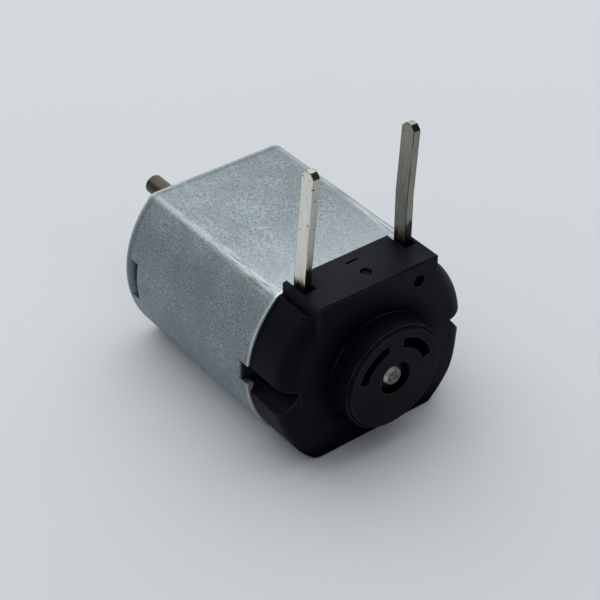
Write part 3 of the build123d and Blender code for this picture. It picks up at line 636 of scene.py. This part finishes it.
oiled_colour = add(tree, "Mix", {0: oil_share, 6: steel_colour, 7: oil_colour}, data_type="RGBA")
level_place = add(tree, "CombineXYZ", {0: axes.outputs[0], 2: axes.outputs[2]})
off_axis = add(tree, "VectorMath", {0: level_place}, operation="LENGTH")
end_mask = add(tree, "MapRange", {0: off_axis, 1: end_edge, 2: end_core, 4: 0.9})
mottle = add(tree, "TexNoise", {"Vector": place, "Scale": 1 / end_mottle, "Detail": 2.0})
mottle_share = add(tree, "MapRange", {0: mottle, 1: 0.38, 2: 0.62})
end_colour = add(tree, "Mix", {0: mottle_share, 6: linear("#1E1D1C"), 7: linear("#6C6B68")}, data_type="RGBA")
shaft_colour = add(tree, "Mix", {0: end_mask, 6: oiled_colour, 7: end_colour}, data_type="RGBA")
shaft_roughness = add(tree, "MapRange", {0: blots, 1: 0.3, 2: 0.7, 3: 0.24, 4: 0.38})
soft_edge = add(tree, "Bevel", {"Radius": 0.08 * mm})
bump = add(tree, "Bump", {"Height": grind_lines, "Distance": 0.004 * mm, "Normal": soft_edge})
shaft_feeds = {"Base Color": shaft_colour, "Metallic": 1.0, "Roughness": shaft_roughness, "Normal": bump}
shaft_shader = add(tree, "BsdfPrincipled", shaft_feeds)
add(tree, "OutputMaterial", {"Surface": shaft_shader})
dress(shaft_steel, "rotor_shaft")

# Rotor core: three-pole sheets punched from electrical steel, stacked on the shaft and pressed together.
# Punched sheet steel: blue-grey and oxide-coated, with a dark line at each joint between sheets and bright
# burrs beside it.
core_steel, tree, place = start_finish("core_steel")
sheet_thickness = 0.5 * mm
oxide_size = 0.8 * mm
wave_turn = 0.314159  # a Wave texture's band repeats every 0.314159 / scale
sheet_bands = {"Vector": place, "Scale": wave_turn / sheet_thickness, "Distortion": 0.0, "Detail": 0.0}
sheets = add(tree, "TexWave", sheet_bands, bands_direction="Y")
joint_mask = add(tree, "MapRange", {0: sheets.outputs["Fac"], 1: 0.1, 2: 0.02})
burr_mask = add(tree, "MapRange", {0: sheets.outputs["Fac"], 1: 0.4, 2: 0.12, 4: 0.7})
oxide = add(tree, "TexNoise", {"Vector": place, "Scale": 1 / oxide_size, "Detail": 4.0})
oxide_colour = add(tree, "Mix", {0: oxide, 6: linear("#565C63"), 7: linear("#868C92")}, data_type="RGBA")
burr_colour = add(tree, "Mix", {0: burr_mask, 6: oxide_colour, 7: linear("#ABAFB2")}, data_type="RGBA")
core_colour = add(tree, "Mix", {0: joint_mask, 6: burr_colour, 7: linear("#26231F")}, data_type="RGBA")
core_roughness = add(tree, "MapRange", {0: oxide, 1: 0.3, 2: 0.7, 3: 0.34, 4: 0.52})
soft_edge = add(tree, "Bevel", {"Radius": 0.05 * mm})
bump = add(tree, "Bump", {"Height": joint_mask, "Distance": 0.03 * mm, "Normal": soft_edge}, invert=True)
core_feeds = {"Base Color": core_colour, "Metallic": 1.0, "Roughness": core_roughness, "Normal": bump}
core_shader = add(tree, "BsdfPrincipled", core_feeds)
add(tree, "OutputMaterial", {"Surface": core_shader})
dress(core_steel, "rotor_laminations")

# Insulators: two wafers punched from fibre board, which keep the wire off the sharp ends of the core.
# Vulcanised fibre: dull red-brown board with short tangled fibres and paler cut edges.
fibre, tree, place = start_finish("fibre")
strand_width = 0.06 * mm
strand_length = 0.6 * mm
felt_size = 0.9 * mm
along_strand = {"Vector": place, "Scale": (1 / strand_length, 1 / strand_width, 1 / strand_width)}
strand_place = add(tree, "Mapping", along_strand)
strands = add(tree, "TexNoise", {"Vector": strand_place, "Scale": 1.0, "Detail": 3.0, "Distortion": 1.5})
felt = add(tree, "TexNoise", {"Vector": place, "Scale": 1 / felt_size, "Detail": 4.0})
felt_colour = add(tree, "Mix", {0: felt, 6: linear("#7A3A28"), 7: linear("#A2573C")}, data_type="RGBA")
strand_share = add(tree, "MapRange", {0: strands, 1: 0.5, 2: 0.72, 4: 0.6})
fibre_colour = add(tree, "Mix", {0: strand_share, 6: felt_colour, 7: linear("#C07F5E")}, data_type="RGBA")
fibre_roughness = add(tree, "MapRange", {0: felt, 1: 0.3, 2: 0.7, 3: 0.6, 4: 0.8})
bump = add(tree, "Bump", {"Height": strands, "Distance": 0.015 * mm})
fibre_feeds = {"Base Color": fibre_colour, "Roughness": fibre_roughness, "Normal": bump}
fibre_shader = add(tree, "BsdfPrincipled", fibre_feeds)
add(tree, "OutputMaterial", {"Surface": fibre_shader})
dress(fibre, "front_insulator", "rear_insulator")

# Coils: one winding of enamelled wire round the neck of each pole, wound turn on turn by a flyer.
# Each is a ring of wire that is wider near the hub, where the slots between the poles are wider.
# Enamelled copper: glossy red-brown, each turn a rounded ridge, with lighter and darker turns side by side.
wire_pitch = 0.3 * mm
wire_groove = 0.055 * mm
ridge_fullness = 0.7
coil_middle = -9.2 * mm
opening_half = (5.56 * mm, 1.31 * mm)
opening_corner = 0.3 * mm
bundle_half_length = 6.58 * mm
hub_level = 2.94 * mm
hub_half_width = 3.16 * mm
shoe_level = 4.99 * mm
shoe_half_width = 2.0 * mm
bundle_corner = 1.08 * mm
turn_count = np.round(2 * (shoe_level - hub_level + hub_half_width - opening_half[1]) / wire_pitch)
round_steps = 112
section_steps = 156


def wound_ring(around, across):
    """Surface of one winding: a loop round the pole's neck, carried round a four-sided section of wire.

    Across the section a point moves up the neck, out over the top, down the outside and back underneath.
    Its share outwards blends the opening's loop into the outer loop, whose width shrinks with the level.
    Each turn of wire is a ridge: the section is drawn in by the groove's depth times 1 - |sin| ** fullness.
    """
    height = shoe_level - hub_level
    build = hub_half_width - opening_half[1]
    legs = np.array([height, build, height, build])
    marks = np.concatenate([[0.0], np.cumsum(legs)]) / legs.sum()
    ridge = 1 - np.abs(np.sin(np.pi * turn_count * across)) ** ridge_fullness
    sunk_level = wire_groove * ridge
    sunk_share = wire_groove / build * ridge
    share = np.interp(across, marks, [0.0, 0.0, 1.0, 1.0, 0.0])
    rise = np.interp(across, marks, [0.0, 1.0, 1.0, 0.0, 0.0])
    share = np.clip(share, sunk_share, 1 - sunk_share)
    level = np.clip(hub_level + height * rise, hub_level + sunk_level, shoe_level - sunk_level)
    outer_half_width = hub_half_width + (shoe_half_width - hub_half_width) * (level - hub_level) / height
    inner = rounded_loop(opening_half[0], opening_half[1], opening_corner, around)
    outer = rounded_loop(bundle_half_length, outer_half_width, bundle_corner, around)
    flat = inner + (outer - inner) * share
    return flat[0], flat[1], level


copper_wire, tree, place = start_finish("enamelled_copper")
tone_size = 0.5 * mm
sheen_size = 2.0 * mm
noise_share = 0.5
turn_tone = add(tree, "Attribute", {}, attribute_name="turn_tone")
tone_noise = add(tree, "TexNoise", {"Vector": place, "Scale": 1 / tone_size, "Detail": 2.0})
enamel_pool = add(tree, "TexNoise", {"Vector": place, "Scale": 1 / sheen_size, "Detail": 2.0})
tone_feeds = {0: tone_noise, 1: noise_share, 2: turn_tone.outputs["Fac"]}
tone = add(tree, "Math", tone_feeds, operation="MULTIPLY_ADD")
tone_share = add(tree, "MapRange", {0: tone, 1: 0.2, 2: 1.1})
copper_mix = {0: tone_share, 6: linear("#8A3F1C"), 7: linear("#D07C42")}
copper_colour = add(tree, "Mix", copper_mix, data_type="RGBA")
copper_roughness = add(tree, "MapRange", {0: enamel_pool, 1: 0.3, 2: 0.7, 3: 0.2, 4: 0.36})
copper_feeds = {
    "Base Color": copper_colour,
    "Metallic": 0.85,
    "Roughness": copper_roughness,
    "Coat Weight": 0.5,
    "Coat Roughness": 0.12,
}
copper_shader = add(tree, "BsdfPrincipled", copper_feeds)
add(tree, "OutputMaterial", {"Surface": copper_shader})

# The tone of each turn is drawn by its number, from the decimals of a steep sine
tone_stride = 12.9898
tone_scatter = 43.7585
round_shares = np.arange(round_steps) / round_steps
section_shares = np.arange(section_steps) / section_steps
around, across = np.meshgrid(round_shares, section_shares, indexing="ij")
turn_number = np.floor(across * turn_count)
along_pole, beside_pole, up_pole = wound_ring(around, across)
for number, pole_angle in ((1, 90), (2, 210), (3, 330)):
    up_x, up_z = np.cos(np.radians(pole_angle)), np.sin(np.radians(pole_angle))
    x = up_pole * up_x + beside_pole * up_z
    z = up_pole * up_z - beside_pole * up_x
    coil_points = np.stack([x, coil_middle - along_pole, z], axis=-1)
    coil_mesh = grid_mesh(f"winding_{number}", coil_points, copper_wire, joined=True)
    tones = np.modf(np.abs(np.sin(turn_number * tone_stride + number) * tone_scatter))[0]
    tone_layer = coil_mesh.attributes.new("turn_tone", "FLOAT", "POINT")
    tone_layer.data.foreach_set("value", tones.reshape(-1))
    winding = bpy.data.objects.new(f"winding_{number}", coil_mesh)
    bpy.context.scene.collection.objects.link(winding)
    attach(winding, "rotor")
    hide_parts(f"coil_{number}")

# Collar and thrust washers: a turned spacer behind the front bearing, and a washer at each bearing.
# White nylon: milky off-white with a waxy gloss, faint turning lines and a trace of oil.
white_nylon, tree, place = start_finish("white_nylon")
turning_pitch = 0.1 * mm
turning_length = 4.0 * mm
oil_trace = 1.4 * mm
along_collar = {"Vector": place, "Scale": (1 / turning_length, 1 / turning_pitch, 1 / turning_length)}
collar_place = add(tree, "Mapping", along_collar)
turning = add(tree, "TexNoise", {"Vector": collar_place, "Scale": 1.0, "Detail": 1.0})
oiliness = add(tree, "TexNoise", {"Vector": place, "Scale": 1 / oil_trace, "Detail": 3.0})
white_colour = add(tree, "Mix", {0: oiliness, 6: linear("#E4E1D6"), 7: linear("#CFC7AE")}, data_type="RGBA")
white_roughness = add(tree, "MapRange", {0: oiliness, 1: 0.3, 2: 0.7, 3: 0.46, 4: 0.3})
soft_edge = add(tree, "Bevel", {"Radius": 0.06 * mm})
bump = add(tree, "Bump", {"Height": turning, "Distance": 0.006 * mm, "Normal": soft_edge})
white_feeds = {
    "Base Color": white_colour,
    "Roughness": white_roughness,
    "Subsurface Weight": 0.15,
    "Subsurface Radius": (0.4 * mm, 0.35 * mm, 0.3 * mm),
    "Subsurface Scale": 1.0,
    "Normal": bump,
}
white_shader = add(tree, "BsdfPrincipled", white_feeds)
add(tree, "OutputMaterial", {"Surface": white_shader})
dress(white_nylon, "shaft_collar", "front_thrust_washer", "rear_thrust_washer")

# Commutator: three copper bars on a moulded sleeve, held down by a moulded ring behind their risers.
# Phenolic resin: dark brown and glossy, flecked with its paler wood-flour filler.
phenolic, tree, place = start_finish("phenolic")
filler_spacing = 0.2 * mm
swirl_size = 1.5 * mm
filler = add(tree, "TexVoronoi", {"Vector": place, "Scale": 1 / filler_spacing})
filler_mask = add(tree, "MapRange", {0: filler.outputs["Distance"], 1: 0.15, 2: 0.32, 3: 0.7, 4: 0.0})
swirl = add(tree, "TexNoise", {"Vector": place, "Scale": 1 / swirl_size, "Detail": 3.0})
resin_colour = add(tree, "Mix", {0: swirl, 6: linear("#2E1A10"), 7: linear("#553423")}, data_type="RGBA")
filler_colour = add(tree, "Mix", {0: filler_mask, 6: resin_colour, 7: linear("#7C5438")}, data_type="RGBA")
resin_roughness = add(tree, "MapRange", {0: swirl, 1: 0.3, 2: 0.7, 3: 0.25, 4: 0.42})
soft_edge = add(tree, "Bevel", {"Radius": 0.06 * mm})
bump = add(tree, "Bump", {"Height": filler_mask, "Distance": 0.004 * mm, "Normal": soft_edge})
resin_feeds = {"Base Color": filler_colour, "Roughness": resin_roughness, "Normal": bump}
resin_shader = add(tree, "BsdfPrincipled", resin_feeds)
add(tree, "OutputMaterial", {"Surface": resin_shader})
dress(phenolic, "commutator_core", "commutator_ring")

# Turned copper: bright salmon metal with turning lines round it, browned where the brushes have run.
bar_copper, tree, place = start_finish("commutator_copper")
tool_pitch = 0.09 * mm
bar_grip = 3.0 * mm
track_front = -20.3 * mm
track_rear = -22.4 * mm
track_fade = 0.25 * mm
axes = add(tree, "SeparateXYZ", {0: place})
bar_place = add(tree, "Mapping", {"Vector": place, "Scale": (1 / bar_grip, 1 / tool_pitch, 1 / bar_grip)})
tool_lines = add(tree, "TexNoise", {"Vector": bar_place, "Scale": 1.0, "Detail": 2.0})
behind_front = add(tree, "MapRange", {0: axes.outputs[1], 1: track_front + track_fade, 2: track_front})
before_rear = add(tree, "MapRange", {0: axes.outputs[1], 1: track_rear - track_fade, 2: track_rear})
track = add(tree, "Math", {0: behind_front, 1: before_rear}, operation="MULTIPLY")
worn_track = add(tree, "Math", {0: track, 1: tool_lines}, operation="MULTIPLY")
bar_colour = add(tree, "Mix", {0: tool_lines, 6: linear("#B8704A"), 7: linear("#EBB08A")}, data_type="RGBA")
track_colour = add(tree, "Mix", {0: worn_track, 6: bar_colour, 7: linear("#3B2A22")}, data_type="RGBA")
bar_roughness = add(tree, "MapRange", {0: tool_lines, 1: 0.3, 2: 0.7, 3: 0.22, 4: 0.36})
soft_edge = add(tree, "Bevel", {"Radius": 0.04 * mm})
bump = add(tree, "Bump", {"Height": tool_lines, "Distance": 0.006 * mm, "Normal": soft_edge})
bar_feeds = {"Base Color": track_colour, "Metallic": 1.0, "Roughness": bar_roughness, "Normal": bump}
bar_shader = add(tree, "BsdfPrincipled", bar_feeds)
add(tree, "OutputMaterial", {"Surface": bar_shader})
dress(bar_copper, "commutator_segments")

# Floor: a sheet of matt white card under the motor.
# Card: pale cool grey-white, with no gloss and a very faint cloudiness. From below it is left clear.
card, tree, place = start_finish("matt_card")
card_cloud_size = 40 * mm
card_cloud = add(tree, "TexNoise", {"Vector": place, "Scale": 1 / card_cloud_size, "Detail": 2.0})
card_colour = add(tree, "Mix", {0: card_cloud, 6: linear("#CFD2D6"), 7: linear("#D3D6DA")}, data_type="RGBA")
card_shader = add(tree, "BsdfDiffuse", {"Color": card_colour})
underside = add(tree, "NewGeometry", {})
clear = add(tree, "BsdfTransparent", {})
card_surface = add(tree, "MixShader", {0: underside.outputs["Backfacing"], 1: card_shader, 2: clear})
add(tree, "OutputMaterial", {"Surface": card_surface})
floor_reach = 1.5
floor_height = cad_box[0][2]
floor_corners = [(-1, -1), (1, -1), (1, 1), (-1, 1)]
floor_points = [(x * floor_reach, y * floor_reach, floor_height) for x, y in floor_corners]
floor_mesh = bpy.data.meshes.new("floor")
floor_mesh.from_pydata(floor_points, [], [(0, 1, 2, 3)])
floor_mesh.materials.append(card)
floor = bpy.data.objects.new("floor", floor_mesh)
bpy.context.scene.collection.objects.link(floor)

# Light: one wide soft lamp high behind the motor and to its right, in a grey room.
# The room is brightest overhead, a little to the left, and darkest at the horizon.
horizon_level = 0.13
horizon_dip = -0.1
ceiling_level = 0.70
brightest_way = Vector((-0.15, 0.15, 0.95)).normalized()
lamp_place = Vector((0.20, 0.37, 0.53))
lamp_target = Vector((0.0, -0.01, 0.0))
lamp_size = 1.4
lamp_power = 7.4
room = bpy.data.worlds.new("room")
room.use_nodes = True
tree = room.node_tree
tree.nodes.clear()
direction = add(tree, "TexCoord", {})
facing_feeds = {0: direction.outputs["Generated"], 1: brightest_way}
facing = add(tree, "VectorMath", facing_feeds, operation="DOT_PRODUCT")
room_feeds = {0: facing, 1: horizon_dip, 2: 1.0, 3: horizon_level, 4: ceiling_level}
room_light = add(tree, "MapRange", room_feeds)
room_glow = add(tree, "Background", {"Color": linear("#F4F7FA"), "Strength": room_light})
add(tree, "OutputWorld", {"Surface": room_glow})
bpy.context.scene.world = room
softbox = bpy.data.lights.new("softbox", "AREA")
softbox.size = lamp_size
softbox.energy = lamp_power
softbox_stand = bpy.data.objects.new("softbox", softbox)
lamp_aim = (lamp_target - lamp_place).to_track_quat("-Z", "Y")
softbox_stand.matrix_world = Matrix.Translation(lamp_place) @ lamp_aim.to_matrix().to_4x4()
bpy.context.scene.collection.objects.link(softbox_stand)

# Camera: at the photograph's viewing angle, from the rear left and above, with a long lens.
camera_azimuth = np.radians(-37.168)
camera_elevation = np.radians(37.422)
camera_roll = np.radians(0.104)
camera_distance = 169.355 * mm
camera_target = Vector((6.938, -4.595, -8.640)) * mm
focal_pixels = 1682.3
frame_pixels = 600
level_reach = np.cos(camera_elevation)
back = Vector(
    (np.sin(camera_azimuth) * level_reach, -np.cos(camera_azimuth) * level_reach, np.sin(camera_elevation))
)
level_right = Vector((0.0, 0.0, 1.0)).cross(back).normalized()
level_up = back.cross(level_right)
right = np.cos(camera_roll) * level_right + np.sin(camera_roll) * level_up
up = back.cross(right)
lens = bpy.data.cameras.new("camera")
lens.sensor_width = 36.0
lens.lens = focal_pixels / frame_pixels * lens.sensor_width
lens.clip_start = 0.01
camera = bpy.data.objects.new("camera", lens)
camera_turn = Matrix((right, up, back)).transposed().to_4x4()
camera.matrix_world = Matrix.Translation(camera_target + camera_distance * back) @ camera_turn
bpy.context.scene.collection.objects.link(camera)
bpy.context.scene.camera = camera
bpy.context.scene.view_settings.view_transform = "Standard"
